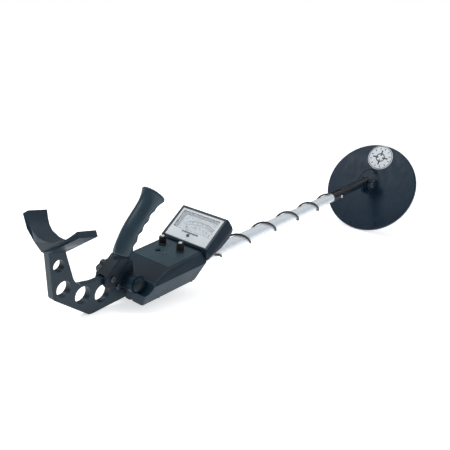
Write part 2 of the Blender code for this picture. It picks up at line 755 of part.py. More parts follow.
def build_coil(parent):
    normal = coil_normal()
    centre = on_coil(0, 0)
    low = -COIL_SHELL
    shell = turned(
        [(0, 0), (0, COIL_RADIUS - 3.0), (-0.8, COIL_RADIUS - 1.0), (-2.6, COIL_RADIUS), (low, COIL_RADIUS),
         (low, COIL_RADIUS - COIL_WALL), (-COIL_WALL, COIL_RADIUS - COIL_WALL - 1.5), (-COIL_WALL, 0)],
        centre, normal, 64,
    )
    top = put("coil_shell", shell, black_plastic(), parent)
    outline = ear_outline()
    for side in (1, -1):
        ends = (side * EAR_INNER, side * (EAR_INNER + EAR_THICKNESS))
        join(top, hull([on_coil(u, y, o) for u, o in outline for y in ends]))
    across = rod((TILT_AXIS[0], -20, TILT_AXIS[1]), (TILT_AXIS[0], 20, TILT_AXIS[1]), 3.3, 16)
    cut(top, across)
    foot = Vector(on_coil(GLAND_UP, 0))
    cut(top, rod(foot - normal * 5, foot + normal * 3, 2.6, 16))
    cover = turned(
        [(0, 0), (0, COIL_RADIUS - 0.4), (-1.2, COIL_RADIUS - 0.4), (-COIL_COVER, COIL_RADIUS - 1.8),
         (-COIL_COVER, 0)],
        on_coil(0, 0, low - GAP), normal, 64,
    )
    put("coil_cover", cover, black_plastic(), parent)
    for name, radius, width in (("transmit_winding", 96.0, 5.0), ("receive_winding", 58.0, 4.0)):
        ring = [(-8.2, radius - width), (-8.2, radius), (-3.4, radius), (-3.4, radius - width)]
        put(name, turned(ring, centre, normal, 36), copper(), parent)
    label = turned([(0, 0), (0, LABEL_RADIUS), (0.7, LABEL_RADIUS - 0.3), (0.7, 0)],
                   on_coil(LABEL_UP, 0, GAP), normal, 40)
    put("coil_label", label, white_plastic(), parent)
    gland = turned([(-4.5, 0), (-4.5, 2.3), (GAP, 2.3), (GAP, 4.6), (2.6, 4.4), (9.0, 2.9), (9.0, 0)],
                   foot, normal, 20)
    put("coil_gland", gland, soft_black(), parent)


def lobed(centre, radius, depth, lobes, y_ends, steps=8):
    """A hand knob's outline of rounded lobes, pulled out along Y."""
    outline = []
    count = lobes * steps
    for i in range(count):
        a = 2 * pi * i / count
        r = radius - depth * (0.5 - 0.5 * cos(lobes * a)) ** 1.5
        outline.append((centre[0] + r * cos(a), centre[1] + r * sin(a)))
    return prism(outline, *y_ends)


def build_coil_hinge(parent, nut_parent):
    x, z = TILT_AXIS
    outer = EAR_INNER + EAR_THICKNESS + GAP
    bolt = turned(
        [(0, 0), (0, 5.2), (0.8, 6.0), (4.0, 6.0), (4.0, BOLT_RADIUS), (2 * outer + 10, BOLT_RADIUS),
         (2 * outer + 10, 0)],
        (x, outer + 4.0, z), (0, -1, 0), 12,
    )
    put("tilt_bolt", bolt, soft_black(), parent)
    rubber = material("rubber", (0.02, 0.02, 0.02), 0.8)
    for name, side in (("left_tilt_washer", 1), ("right_tilt_washer", -1)):
        ring = [(0, 3.3), (0, 9.0), (0.6, 9.0), (0.6, 3.3)]
        put(name, turned(ring, (x, side * (STEM_FLAT + GAP), z), (0, side, 0), 20), rubber, parent)
    nut = rounded(lobed(TILT_AXIS, 10.5, 2.2, 6, (-outer - 8.0, -outer), 4), 0.7, 1, sharper_than=60)
    knob = put("tilt_nut", nut, soft_black(), nut_parent, (x, -outer, z))
    cut(knob, rod((x, -outer + 1, z), (x, -outer - 6.5, z), 3.3, 16))


# Handle and armrest


def grip_stations(count):
    """Evenly spaced places up the grip's curved centre line, each with its direction."""
    line = smooth_path([(x, 0, z) for x, z in GRIP_LINE], 1.0)
    picks = [line[round(k * (len(line) - 1) / count)] for k in range(count + 1)]
    ends = [picks[0]] + picks + [picks[-1]]
    return [(here, (after - before).normalized()) for before, here, after in zip(ends, picks, ends[2:])]


def build_handle_base(parent):
    foot, axis = grip_stations(22)[0]
    lobe = circle(CHEEK_LOBE, CHEEK_LOBE_RADIUS, 20)
    knuckle = circle(CLAMP_AXIS, LUG_RADIUS - 1.5, 24)
    neck = [(-346.0, 55.0), (-343.5, 57.5), (-326.5, 49.5), (-325.0, 45.0)]
    cheeks = hull([(x, y, z) for x, z in lobe + knuckle + neck for y in (-CHEEK_HALF, CHEEK_HALF)])
    base = put("handle_base", rounded(cheeks, 1.6, 2, sharper_than=50), black_plastic(), parent)
    ends = ((CLAMP_AXIS[0], -KNUCKLE_HALF, CLAMP_AXIS[1]), (CLAMP_AXIS[0], KNUCKLE_HALF, CLAMP_AXIS[1]))
    join(base, rod(*ends, LUG_RADIUS - 0.4, 24))
    collar = turned([(-14, 0), (-14, 9.0), (-6, 12.2), (-1.6, 12.4), (-GAP, 11.4), (-GAP, 0)], foot, axis, 20)
    join(base, collar)
    cut(base, box((-385, -PLATE_HALF - GAP, -12), (-344.2, PLATE_HALF + GAP, 38.0)))
    cut(base, rod((CLAMP_AXIS[0], -25, CLAMP_AXIS[1]), (CLAMP_AXIS[0], 25, CLAMP_AXIS[1]), 3.3, 12))
    for x, z in CHEEK_SCREWS:
        cut(base, rod((x, -20, z), (x, 20, z), 2.3, 10))
    cut(base, rod(foot - axis * 11, foot + axis * 4, POST_RADIUS + GAP, 16))


def build_handle(parent):
    stations = grip_stations(22)
    count = len(stations) - 1
    side = Vector((0, 1, 0))
    rings = []
    for k, (centre, axis) in enumerate(stations):
        t = k / count
        front = Vector((axis.z, 0, -axis.x))
        flare = max(0.0, (t - 0.72) / 0.28)
        radius = GRIP_RADIUS + (FLANGE_RADIUS - GRIP_RADIUS) * flare ** 2.6
        in_grooves = 0.1 < t < 0.82
        wave = 0.5 - 0.5 * cos(2 * pi * (t - 0.1) / 0.72 * 4) if in_grooves else 0.0
        ring = []
        for i in range(20):
            a = 2 * pi * i / 20
            facing = max(0.0, cos(a)) ** 1.5
            r = radius + (1.2 - 2.6 * wave) * facing * in_grooves
            ring.append(centre + front * (r * cos(a)) + side * (0.95 * r * sin(a)))
        rings.append(ring)
    grip = put("handle_grip", loft(rings), soft_black(), parent)
    foot, axis = stations[0]
    cut(grip, rod(foot - axis * 2, foot + axis * 26, POST_RADIUS + GAP, 16))
    core = rod(foot - axis * 10.5, foot + axis * 25, POST_RADIUS, 16)
    put("handle_post", core, bright_steel(), parent)
    top, axis = stations[-1]
    cap = turned([(0, 0), (0, 16.3), (1.0, 16.4), (2.4, 15.6), (3.8, 11.0), (4.6, 0)], top + axis * GAP, axis, 24)
    put("grip_cap", cap, black_plastic(), parent)
    for i, (x, z) in enumerate(CHEEK_SCREWS, 1):
        fixing = screw((x, -CHEEK_HALF - 2.5, z), (0, 1, 0), 4.2, 2.2, 2.0, 20.5)
        put(f"handle_screw_{i}", fixing, bright_steel(), parent)


def build_clamp(parent, knob_parent):
    x, z = CLAMP_AXIS
    head = -LUG_OUTER - GAP
    bolt = turned(
        [(-6.6, 0), (-6.2, 5.0), (-4.6, 8.2), (-2.6, 9.3), (0, 9.3), (0, BOLT_RADIUS),
         (2 * LUG_OUTER + 9, BOLT_RADIUS), (2 * LUG_OUTER + 9, 0)],
        (x, head, z), (0, 1, 0), 24,
    )
    put("clamp_bolt", bolt, black_plastic(), parent)
    near = LUG_OUTER + GAP
    star = rounded(lobed(CLAMP_AXIS, 14.2, 2.4, 7, (near, near + 12.0), 4), 1.0, 1, sharper_than=60)
    knob = put("clamp_knob", star, soft_black(), knob_parent, (x, near, z))
    cut(knob, rod((x, near - 1, z), (x, near + 10.5, z), 3.3, 16))


CRADLE_INNER = [(0, 100.8), (9.0, 101.3), (19.6, 103.9), (27.0, 107.6), (33.5, 112.6), (41.0, 120.3)]
CRADLE_OUTER = [(47.0, 115.6), (31.0, 104.2), (16.0, 93.6), (PLATE_HALF, 86.0)]
CRADLE_FRONT_LOW = (-421.5, 101.0)
CRADLE_LEAN = 0.57             # forward run for each step up the wings
CRADLE_DEPTH = 24.5
CRADLE_RISE = 4.8              # how much higher the cradle's back edge is than its front


def cradle_section(back):
    """The cradle's cross-section ring at its front edge, or moved to its back edge."""
    half = CRADLE_INNER + CRADLE_OUTER
    ring = half + [(-y, z) for y, z in reversed(half[1:])]
    points = []
    for y, z in ring:
        lift = max(0.0, z - CRADLE_FRONT_LOW[1])
        x = CRADLE_FRONT_LOW[0] + CRADLE_LEAN * lift - back * CRADLE_DEPTH
        points.append((x, y, z + back * CRADLE_RISE))
    return points


HOLES = [(-430.8, 72.4, 7.4), (-425.5, 42.2, 9.8), (-399.4, 24.6, 11.0), (-370.0, 15.8, 11.6)]


def build_armrest(parent):
    outline = [(-444.5, 96.0), (-443.0, 86.0), (-440.0, 37.0)]
    outline += arc((-434.5, 36.5), 5.5, 184, 232, 4)
    outline += [(-391.0, -4.68), (-385.0, -5.5), (-330.0, -3.2), (-330.0, 7.2)]
    outline += [(-344.8, 12.0), (-344.8, 35.6), (-384.0, 35.6)]
    outline += arc((-394.0, 56.5), 19.0, 270, 196, 6)
    outline += [(-421.8, 88.0), (-423.0, 96.0)]
    plate = prism(outline, -PLATE_HALF, PLATE_HALF)
    rest = put("armrest", plate, black_plastic(), parent)
    join(rest, loft([cradle_section(0), cradle_section(1)]))
    for x, z, radius in HOLES:
        cut(rest, rod((x, -12, z), (x, 12, z), radius, 28))
    for x, z in CHEEK_SCREWS:
        cut(rest, rod((x, -12, z), (x, 12, z), 2.3, 10))


# Coil cable


def smooth_path(points, spacing):
    """Evenly spaced points along a Catmull-Rom curve through the given ones."""
    knots = [Vector(p) for p in points]
    knots = [2 * knots[0] - knots[1]] + knots + [2 * knots[-1] - knots[-2]]
    fine = []
    for a, b, c, d in zip(knots, knots[1:], knots[2:], knots[3:]):
        for i in range(24):
            t = i / 24
            fine.append(0.5 * ((2 * b) + (c - a) * t + (2 * a - 5 * b + 4 * c - d) * t * t
                               + (3 * b - a - 3 * c + d) * t ** 3))
    fine.append(knots[-2])
    total = sum((q - p).length for p, q in zip(fine, fine[1:]))
    count = max(2, round(total / spacing))
    path = [fine[0]]
    run = 0.0
    for p, q in zip(fine, fine[1:]):
        step = (q - p).length
        while run + step >= total * len(path) / count - 1e-6 and len(path) < count:
            part = (total * len(path) / count - run) / step
            path.append(p.lerp(q, part))
        run += step
    path.append(fine[-1])
    return path


def around_tube(x, angle, radius):
    return (x, radius * cos(angle), radius * sin(angle))


def wound_route():
    """Out of the box, round the tube in long turns, and onto the collar."""
    lie = TUBE_RADIUS + CABLE_RADIUS + GAP + 0.55
    y, z = GLAND_PLACE
    route = [(front_wall_x(z) + 9.6, y, z)]
    route.append(around_tube(-203.0, radians(74), lie + 1.6))
    route.append(around_tube(-182.0, radians(112), lie))
    route.append(around_tube(-161.0, radians(160), lie))
    (x_first, turn_first), (x_last, turn_last) = WIND_FIRST, WIND_LAST
    turns = round((x_last - x_first) / WIND_PITCH)
    sweep = 360 * turns + turn_last - turn_first
    steps = 18 * turns
    for i in range(steps + 1):
        t = i / steps
        route.append(around_tube(x_first + (x_last - x_first) * t, radians(turn_first + sweep * t), lie))
    over = COLLAR_RADIUS + CABLE_RADIUS + GAP
    route += [(242.0, 0, over + 0.2), (COLLAR_BACK + 6, 0, over), (COLLAR_FRONT - 6, 0, over)]
    return route


def stem_route():
    over = COLLAR_RADIUS + CABLE_RADIUS + GAP
    lie = STEM_RADIUS + CABLE_RADIUS + GAP
    return [(COLLAR_FRONT - 6 + GAP, 0, over), (COLLAR_FRONT + 1, 0, over - 0.4), (COLLAR_FRONT + 10, 0, lie + 0.3),
            (COLLAR_FRONT + 24, 0, lie), (350, 0, lie), (368, 0, lie + 0.6)]


def tail_route():
    lie = STEM_RADIUS + CABLE_RADIUS + GAP
    gland = Vector(on_coil(GLAND_UP, 0, 9.0 + GAP))
    lead = Vector(on_coil(GLAND_UP, 0, 16.0))
    return [(369.0, 0, lie + 0.7), (380, 0, lie + 5), (393, 0, lie + 12.5), (410, 0, lie + 18.5),
            (430, 0, lie + 20.5), (448, 0, lie + 19), tuple(lead), tuple(gland)]


def build_cable(name, route, parent, spacing=8.0):
    path = smooth_path(route, spacing)
    curve = bpy.data.curves.new(name, "CURVE")
    curve.dimensions = "3D"
    curve.bevel_depth = CABLE_RADIUS * MM
    curve.bevel_resolution = 2
    curve.use_fill_caps = True
    curve.materials.append(material("cable_jacket", (0.03, 0.035, 0.04), 0.5))
    spline = curve.splines.new("POLY")
    spline.points.add(len(path) - 1)
    for point, place in zip(spline.points, path):
        point.co = (*(place * MM), 1.0)
    obj = bpy.data.objects.new(name, curve)
    bpy.context.collection.objects.link(obj)
    obj.parent = parent


def build_box_gland(parent):
    y, z = GLAND_PLACE
    wall = front_wall_x(z)
    profile = [(-6.0, 0), (-6.0, 3.0), (2.0, 3.0), (9.2, 2.5), (9.2, 0)]
    put("box_gland", turned(profile, (wall, y, z), (1, 0, 0), 20), soft_black(), parent)


def standing_frame():
    """The empty that tips the shaft's frame onto the floor."""
    frame = bpy.data.objects.new("shaft_frame", None)
    bpy.context.collection.objects.link(frame)
    frame.rotation_euler = (0, -radians(STANDING_TILT), 0)
    frame.location = (ORIGIN_X * MM, 0, FLOOR_DEPTH * MM)
    return frame


def main():
    clear_scene()
    frame = standing_frame()
    build_lower_shell(frame)
    build_upper_shell(frame)
    build_box_fasteners(frame)
    build_battery(frame, frame)
    build_electronics(frame)
    build_meter(frame, frame)
    build_knob("left", LEFT_KNOB_Y, frame, frame)
    build_knob("right", RIGHT_KNOB_Y, frame, frame)
    build_button_and_lamp(frame, frame)
    build_box_gland(frame)
    build_tube(frame)
    build_collar(frame, frame)
    build_stem(frame)
    build_coil(frame)
    build_coil_hinge(frame, frame)
    build_handle_base(frame)
    build_handle(frame)
    build_clamp(frame, frame)
    build_armrest(frame)
    build_cable("cable_wound", wound_route(), frame, 7.0)
    build_cable("cable_on_stem", stem_route(), frame)
    build_cable("cable_to_coil", tail_route(), frame, 5.0)
    bpy.context.view_layer.update()


main()
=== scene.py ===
from math import cos, pi, radians, sin

import bmesh
import bpy
from mathutils import Matrix, Vector


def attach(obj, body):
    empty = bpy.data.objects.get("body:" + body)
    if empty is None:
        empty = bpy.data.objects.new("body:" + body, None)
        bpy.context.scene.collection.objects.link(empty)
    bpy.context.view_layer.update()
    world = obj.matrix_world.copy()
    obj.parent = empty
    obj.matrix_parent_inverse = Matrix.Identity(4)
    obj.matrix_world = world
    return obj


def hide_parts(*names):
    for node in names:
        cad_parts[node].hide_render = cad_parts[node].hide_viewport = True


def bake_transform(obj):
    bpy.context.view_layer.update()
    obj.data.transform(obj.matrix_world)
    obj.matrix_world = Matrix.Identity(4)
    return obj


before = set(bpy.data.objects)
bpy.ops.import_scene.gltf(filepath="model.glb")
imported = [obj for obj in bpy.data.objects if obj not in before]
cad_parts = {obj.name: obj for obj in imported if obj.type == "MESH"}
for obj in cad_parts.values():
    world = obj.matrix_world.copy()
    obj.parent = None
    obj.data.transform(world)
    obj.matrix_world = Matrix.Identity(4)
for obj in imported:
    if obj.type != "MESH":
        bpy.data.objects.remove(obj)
bpy.context.view_layer.update()

# The shaft's frame: millimetres, X along the tube to the coil, Z square to it

MM = 0.001
STANDING_TILT = radians(7.74)
SHAFT = (
    Matrix.Translation((-0.02652, 0, 0.0573))
    @ Matrix.Rotation(-STANDING_TILT, 4, "Y")
    @ Matrix.Scale(MM, 4)
)

# Lengths that the part shares, in millimetres in that frame

CABLE_RADIUS = 1.7
COIL_TOP = (463.8, -17.8)
COIL_TILT = radians(61.7)
LABEL_RADIUS = 29.6
LABEL_UP = 74.4
GLAND_UP = 38.0
METER_NEAR = (-216.0, 38.5)
METER_SLOPE = radians(37.0)
WINDOW_LOW = 17.0
WINDOW_HIGH = 46.0
WINDOW_HALF = 32.8
PANEL_BACK = (-287.0, 30.8)
PANEL_FRONT = (-219.0, 34.2)
PANEL_HALF = 35.7
KNOB_X = -239.0
KNOB_RADIUS = 5.3
KNOB_HEIGHT = 13.0
KNOBS = {"left": 20.5, "right": -12.5}
RETUNE_AT = (-256.5, 12.5)
LAMP_AT = (-258.5, -2.0)
GRIP_LINE = [(-336.0, 54.5), (-331.0, 65.5), (-320.0, 82.5), (-302.0, 101.5), (-283.6, 120.4)]
GRIP_RADIUS = 12.0
FLANGE_RADIUS = 16.6
HANDLE_SCREWS = [(-358.5, 32.5), (-349.5, 19.5)]
HANDLE_SIDE = -12.0

# Where each print lies, from its underside to its top, out from the face that carries it

DIAL_PRINT = (-5.2, -5.08)
# The painted shadow band along the meter window lies at the dial's face too
PAINTED_SHADOW_LAYER = (-5.2, -5.0)
FIGURE_OUT = -5.1
FRAME_PRINT = (0.78, 0.86)
LABEL_PRINT = (0.98, 1.07)
FILM_THICKNESS = 0.35
FILM_PRINT = (0.34, 0.42)

# Edges sharper than this many degrees stay sharp, and are rounded on the CAD's nodes

SHARP_ANGLE = 38


def on_meter(up, y, out=0.0):
    """A point on the meter's face: up from its near edge, across, and out from the face."""
    x = METER_NEAR[0] + up * cos(METER_SLOPE) - out * sin(METER_SLOPE)
    z = METER_NEAR[1] + up * sin(METER_SLOPE) + out * cos(METER_SLOPE)
    return Vector((x, y, z))


def on_coil(up, y, out=0.0):
    """A point on the coil's upper face: up from its centre, across, and out from the face."""
    x = COIL_TOP[0] + up * cos(COIL_TILT) - out * sin(COIL_TILT)
    z = COIL_TOP[1] + up * sin(COIL_TILT) + out * cos(COIL_TILT)
    return Vector((x, y, z))


def on_panel(x, y, out=0.0):
    """A point on the control panel: along the shaft, across, and out from the panel."""
    z = PANEL_BACK[1] + (x - PANEL_BACK[0]) / PANEL_RUN * PANEL_RISE
    return Vector((x, y, z)) + PANEL_NORMAL * out


PANEL_RUN = PANEL_FRONT[0] - PANEL_BACK[0]
PANEL_RISE = PANEL_FRONT[1] - PANEL_BACK[1]
PANEL_NORMAL = Vector((-PANEL_RISE, 0, PANEL_RUN)).normalized()
COIL_NORMAL = on_coil(0, 0, 1) - on_coil(0, 0, 0)

# Materials


class Look:
    """A material and short calls for the nodes that the looks share."""

    def __init__(self, name):
        self.material = bpy.data.materials.new(name)
        self.material.use_nodes = True
        self.tree = self.material.node_tree
        self.shader = self.tree.nodes["Principled BSDF"]
        self.coords = self.tree.nodes.new("ShaderNodeTexCoord").outputs["Object"]

    def fix(self, **values):
        for name, value in values.items():
            self.shader.inputs[name.replace("_", " ")].default_value = value

    def feed(self, output, socket):
        self.tree.links.new(output, self.shader.inputs[socket])

    def noise(self, scale, detail, stretch=(1, 1, 1)):
        """Noise over the piece, finer as scale grows, and drawn out along an axis by stretch."""
        mapping = self.tree.nodes.new("ShaderNodeMapping")
        mapping.inputs["Scale"].default_value = stretch
        self.tree.links.new(self.coords, mapping.inputs["Vector"])
        texture = self.tree.nodes.new("ShaderNodeTexNoise")
        texture.inputs["Scale"].default_value = scale
        texture.inputs["Detail"].default_value = detail
        self.tree.links.new(mapping.outputs["Vector"], texture.inputs["Vector"])
        return texture.outputs["Fac"]

    def spread(self, value, low, high, start=0.3, end=0.7):
        """Value, from start to end, mapped to low to high."""
        node = self.tree.nodes.new("ShaderNodeMapRange")
        values = {"From Min": start, "From Max": end, "To Min": low, "To Max": high}
        for name, number in values.items():
            node.inputs[name].default_value = number
        self.tree.links.new(value, node.inputs["Value"])
        return node.outputs["Result"]

    def maths(self, operation, first, second):
        node = self.tree.nodes.new("ShaderNodeMath")
        node.operation = operation
        for socket, value in zip(node.inputs, (first, second)):
            if isinstance(value, (int, float)):
                socket.default_value = value
            else:
                self.tree.links.new(value, socket)
        return node.outputs["Value"]

    def mixed(self, factor, first, second):
        node = self.tree.nodes.new("ShaderNodeMix")
        node.data_type = "RGBA"
        self.tree.links.new(factor, node.inputs[0])
        for socket, value in ((node.inputs[6], first), (node.inputs[7], second)):
            if isinstance(value, tuple):
                socket.default_value = (*value, 1.0)
            else:
                self.tree.links.new(value, socket)
        return node.outputs[2]

    def bump(self, height, strength, distance, under=None):
        node = self.tree.nodes.new("ShaderNodeBump")
        node.inputs["Strength"].default_value = strength
        node.inputs["Distance"].default_value = distance
        self.tree.links.new(height, node.inputs["Height"])
        if under is not None:
            self.tree.links.new(under, node.inputs["Normal"])
        return node.outputs["Normal"]

    def edges(self, radius):
        """High on sharp edges and near zero on flat and gently curved faces."""
        bevel = self.tree.nodes.new("ShaderNodeBevel")
        bevel.samples = 4
        bevel.inputs["Radius"].default_value = radius
        geometry = self.tree.nodes.new("ShaderNodeNewGeometry")
        dot = self.tree.nodes.new("ShaderNodeVectorMath")
        dot.operation = "DOT_PRODUCT"
        self.tree.links.new(bevel.outputs["Normal"], dot.inputs[0])
        self.tree.links.new(geometry.outputs["Normal"], dot.inputs[1])
        return self.spread(dot.outputs["Value"], 1.0, 0.0, 0.8, 0.97)


def scaled(colour, factor):
    return tuple(min(1.0, c * factor) for c in colour)


def moulded(
    name, colour, roughness,
    grain=0.16, grain_scale=1500.0, mottle=0.16, wear=0.35, specular=0.4, flow=0.12,
):
    """Moulded plastic: fine grain, faint flow marks, handling smudges and paler worn edges."""
    look = Look(name)
    patches = look.spread(look.noise(26, 5), 0, 1)
    shade = look.mixed(patches, scaled(colour, 1 - mottle), scaled(colour, 1 + mottle))
    if wear:
        patchy = look.spread(look.noise(190, 4), 0.1, 1.0, 0.42, 0.62)
        mask = look.maths("MULTIPLY", look.edges(0.0006), look.maths("MULTIPLY", patchy, wear))
        worn = tuple(0.6 * part + lift for part, lift in zip(colour, (0.03, 0.045, 0.06)))
        shade = look.mixed(mask, shade, worn)
    look.feed(shade, "Base Color")
    smudge = look.spread(look.noise(48, 6, (1, 1.6, 1)), roughness - 0.07, roughness + 0.09)
    scratch = look.spread(look.noise(420, 2, (0.06, 1, 1)), 0.0, 0.12, 0.66, 0.8)
    look.feed(look.maths("ADD", smudge, scratch), "Roughness")
    waves = look.bump(look.noise(34, 2), flow, 0.0012)
    look.feed(look.bump(look.noise(grain_scale, 3), grain, 0.00012, waves), "Normal")
    look.fix(Specular_IOR_Level=specular)
    return look.material


def enamel(name, colour):
    """Glossy stove enamel on the drawn tube: orange peel, faint draw lines and scuffs."""
    look = Look(name)
    tint = look.spread(look.noise(14, 4), 0, 1)
    base = look.mixed(tint, scaled(colour, 0.95), colour)
    scuff = look.spread(look.noise(170, 5, (0.35, 1, 1)), 0.0, 0.55, 0.6, 0.78)
    look.feed(look.mixed(scuff, base, scaled(colour, 0.82)), "Base Color")
    look.feed(look.spread(look.noise(90, 4), 0.2, 0.36), "Roughness")
    peel = look.bump(look.noise(420, 2), 0.07, 0.0003)
    look.feed(look.bump(look.noise(900, 2, (0.02, 1, 1)), 0.05, 0.0001, peel), "Normal")
    look.fix(Coat_Weight=0.6, Coat_Roughness=0.07)
    return look.material


def printed(name, colour, roughness=0.5):
    """Ink or card: a fine tooth and slightly uneven cover."""
    look = Look(name)
    cover = look.spread(look.noise(240, 5), 0, 1)
    look.feed(look.mixed(cover, scaled(colour, 0.9), scaled(colour, 1.06)), "Base Color")
    look.feed(look.spread(look.noise(150, 3), roughness - 0.06, roughness + 0.08), "Roughness")
    look.feed(look.bump(look.noise(2600, 2), 0.1, 0.00005), "Normal")
    return look.material


def metal(name, colour, roughness, draw=(1, 1, 1)):
    """Metal with brushed or drawn lines and a little tarnish."""
    look = Look(name)
    stain = look.spread(look.noise(160, 5), 0, 1)
    look.feed(look.mixed(stain, scaled(colour, 0.72), scaled(colour, 1.05)), "Base Color")
    brushed = look.spread(look.noise(500, 3, draw), roughness - 0.08, roughness + 0.14)
    look.feed(brushed, "Roughness")
    look.feed(look.bump(look.noise(1700, 2, draw), 0.12, 0.00006), "Normal")
    look.fix(Metallic=1.0)
    return look.material


def clear(name, colour):
    """Clear acrylic with hairline scratches."""
    look = Look(name)
    look.fix(Transmission_Weight=1.0, IOR=1.49, Base_Color=(*colour, 1.0))
    hair = look.spread(look.noise(700, 2, (0.05, 1, 0.4)), 0.01, 0.06, 0.62, 0.8)
    look.feed(hair, "Roughness")
    look.feed(look.bump(look.noise(40, 2), 0.03, 0.0004), "Normal")
    return look.material


# The looks: mostly blue-black mouldings, each a little lighter or darker, as in the photo

shell_look = moulded("shell_moulding", (0.008, 0.027, 0.047), 0.36, specular=0.28)
# Painted shade: the upper shell is a darker copy of the shell moulding, standing in for its rear
# slope turned away from the light
upper_painted_shade_look = moulded("upper_moulding_painted_shade", (0.005, 0.017, 0.031), 0.36, specular=0.28)
# Partly painted light: the panel film's lighter tone stands in for the lit top face, and the inset
# sheet itself is real
film_painted_light_look = moulded("panel_film", (0.020, 0.046, 0.062), 0.5, grain=0.3, wear=0)
# Painted shadow: a dark blue-grey band standing in for the shade of the meter window's recess
painted_shadow_look = printed("dial_painted_shadow", (0.05, 0.085, 0.12))
coil_look = moulded(
    "coil_moulding", (0.006, 0.018, 0.034), 0.3, grain=0.06, wear=0.25, specular=0.2, flow=0.02
)
arm_look = moulded(
    "arm_moulding", (0.007, 0.022, 0.037), 0.38, grain=0.22, grain_scale=1100, specular=0.3
)
grip_look = moulded(
    "grip_moulding", (0.015, 0.038, 0.056), 0.33, grain=0.3, grain_scale=1300, wear=0
)
soft_look = moulded("soft_black_moulding", (0.006, 0.012, 0.020), 0.45, grain=0.25, wear=0.2)
knob_look = moulded("knob_moulding", (0.003, 0.004, 0.006), 0.5, grain=0.1, wear=0, specular=0.3)
stem_look = moulded("stem_moulding", (0.004, 0.009, 0.015), 0.3, grain=0.1, wear=0.3)
base_look = moulded("base_moulding", (0.004, 0.011, 0.020), 0.45, specular=0.25)
rubber_look = moulded("rubber_moulding", (0.012, 0.012, 0.013), 0.75, grain=0.5, wear=0)
white_look = moulded("white_moulding", (0.62, 0.65, 0.67), 0.33, grain=0.08, mottle=0.03, wear=0)
tube_look = enamel("white_enamel_tube", (0.70, 0.74, 0.78))
jacket_look = moulded(
    "cable_sheath", (0.006, 0.009, 0.014), 0.42, grain=0.35, grain_scale=1900, wear=0
)
card_look = printed("dial_card", (0.50, 0.54, 0.56))
ink_look = printed("dial_ink", (0.025, 0.03, 0.036))
red_look = printed("dial_red_ink", (0.32, 0.035, 0.03))
mark_look = printed("label_ink", (0.012, 0.024, 0.05))
needle_look = printed("needle_paint", (0.012, 0.012, 0.013), 0.4)
steel_look = metal("plated_steel_finish", (0.62, 0.63, 0.65), 0.24)
dark_steel_look = metal("blackened_steel", (0.07, 0.08, 0.09), 0.36)
copper_look = metal("copper_winding", (0.72, 0.30, 0.14), 0.3, (1, 1, 9))
board_look = moulded("board_lacquer", (0.02, 0.14, 0.06), 0.35, grain=0.3, mottle=0.3, wear=0)
can_look = metal("battery_can", (0.30, 0.31, 0.34), 0.3)
window_look = clear("clear_acrylic", (0.96, 0.98, 1.0))
lens_look = moulded("lamp_lens", (0.09, 0.11, 0.13), 0.14, grain=0.02, wear=0)
# Painted shadow: near-black, standing in for the shade inside the screws' cross recesses
recess_shadow_look = moulded("recess_shadow", (0.01, 0.011, 0.013), 0.6, wear=0)

LOOKS = {
    "lower_shell": shell_look,
    "upper_shell": upper_painted_shade_look,
    "battery_cover": shell_look,
    "handle_base": base_look,
    "grip_cap": grip_look,
    "armrest": arm_look,
    "clamp_bolt": base_look,
    "clamp_knob": soft_look,
    "coil_shell": coil_look,
    "coil_cover": coil_look,
    "lower_stem": stem_look,
    "stem_collar": stem_look,
    "tilt_bolt": soft_look,
    "tilt_nut": soft_look,
    "left_tilt_washer": rubber_look,
    "right_tilt_washer": rubber_look,
    "main_tube": tube_look,
    "tube_plug": soft_look,
    "lock_button": steel_look,
    "box_gland": soft_look,
    "sounder": soft_look,
    "headphone_socket": steel_look,
    "meter_frame": white_look,
    "meter_window": window_look,
    "meter_dial": card_look,
    "meter_movement": soft_look,
    "meter_needle": needle_look,
    "zero_screw": soft_look,
    "left_potentiometer": steel_look,
    "right_potentiometer": steel_look,
    "left_shaft": steel_look,
    "right_shaft": steel_look,
    "retune_button": soft_look,
    "retune_switch": soft_look,
    "power_lamp": lens_look,
    "battery": can_look,
    "battery_clip": soft_look,
    "circuit_board": board_look,
    "transmit_winding": copper_look,
    "receive_winding": copper_look,
    "handle_post": steel_look,
    "handle_screw_1": dark_steel_look,
    "handle_screw_2": dark_steel_look,
    "tube_screw_1": steel_look,
    "tube_screw_2": steel_look,
    "shell_screw_1": dark_steel_look,
    "shell_screw_2": dark_steel_look,
    "shell_screw_3": dark_steel_look,
    "shell_screw_4": dark_steel_look,
    "coil_label": white_look,
}

# Edge rounding on the CAD's nodes, in millimetres: wider on the large mouldings

PLAIN_ROUNDING = 0.18
ROUNDED = {
    "lower_shell": 0.7,
    "upper_shell": 0.8,
    "armrest": 0.9,
    "handle_base": 0.8,
    "coil_shell": 0.7,
    "coil_cover": 0.5,
    "battery_cover": 0.5,
    "meter_frame": 0.4,
    "grip_cap": 0.4,
    "clamp_knob": 0.6,
    "tilt_nut": 0.5,
    "lower_stem": 0.5,
}
WELD_DISTANCE = 0.000002


def dress(node, look):
    """A CAD node's finish: its material, rounded edges, and normals that keep flat faces flat."""
    node.data.materials.clear()
    node.data.materials.append(look)
    if "custom_normal" in node.data.attributes:
        node.data.attributes.remove(node.data.attributes["custom_normal"])
    for face in node.data.polygons:
        face.use_smooth = True
    weld = node.modifiers.new("weld", "WELD")
    weld.merge_threshold = WELD_DISTANCE
    bevel = node.modifiers.new("rounded", "BEVEL")
    bevel.width = ROUNDED.get(node.name, PLAIN_ROUNDING) * MM
    bevel.segments = 2
    bevel.limit_method = "ANGLE"
    bevel.angle_limit = radians(SHARP_ANGLE)
    node.modifiers.new("flat_faces", "WEIGHTED_NORMAL").weight = 60


for node_name, node_look in LOOKS.items():
    dress(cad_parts[node_name], node_look)

# Mesh builders, in millimetres in the shaft's frame


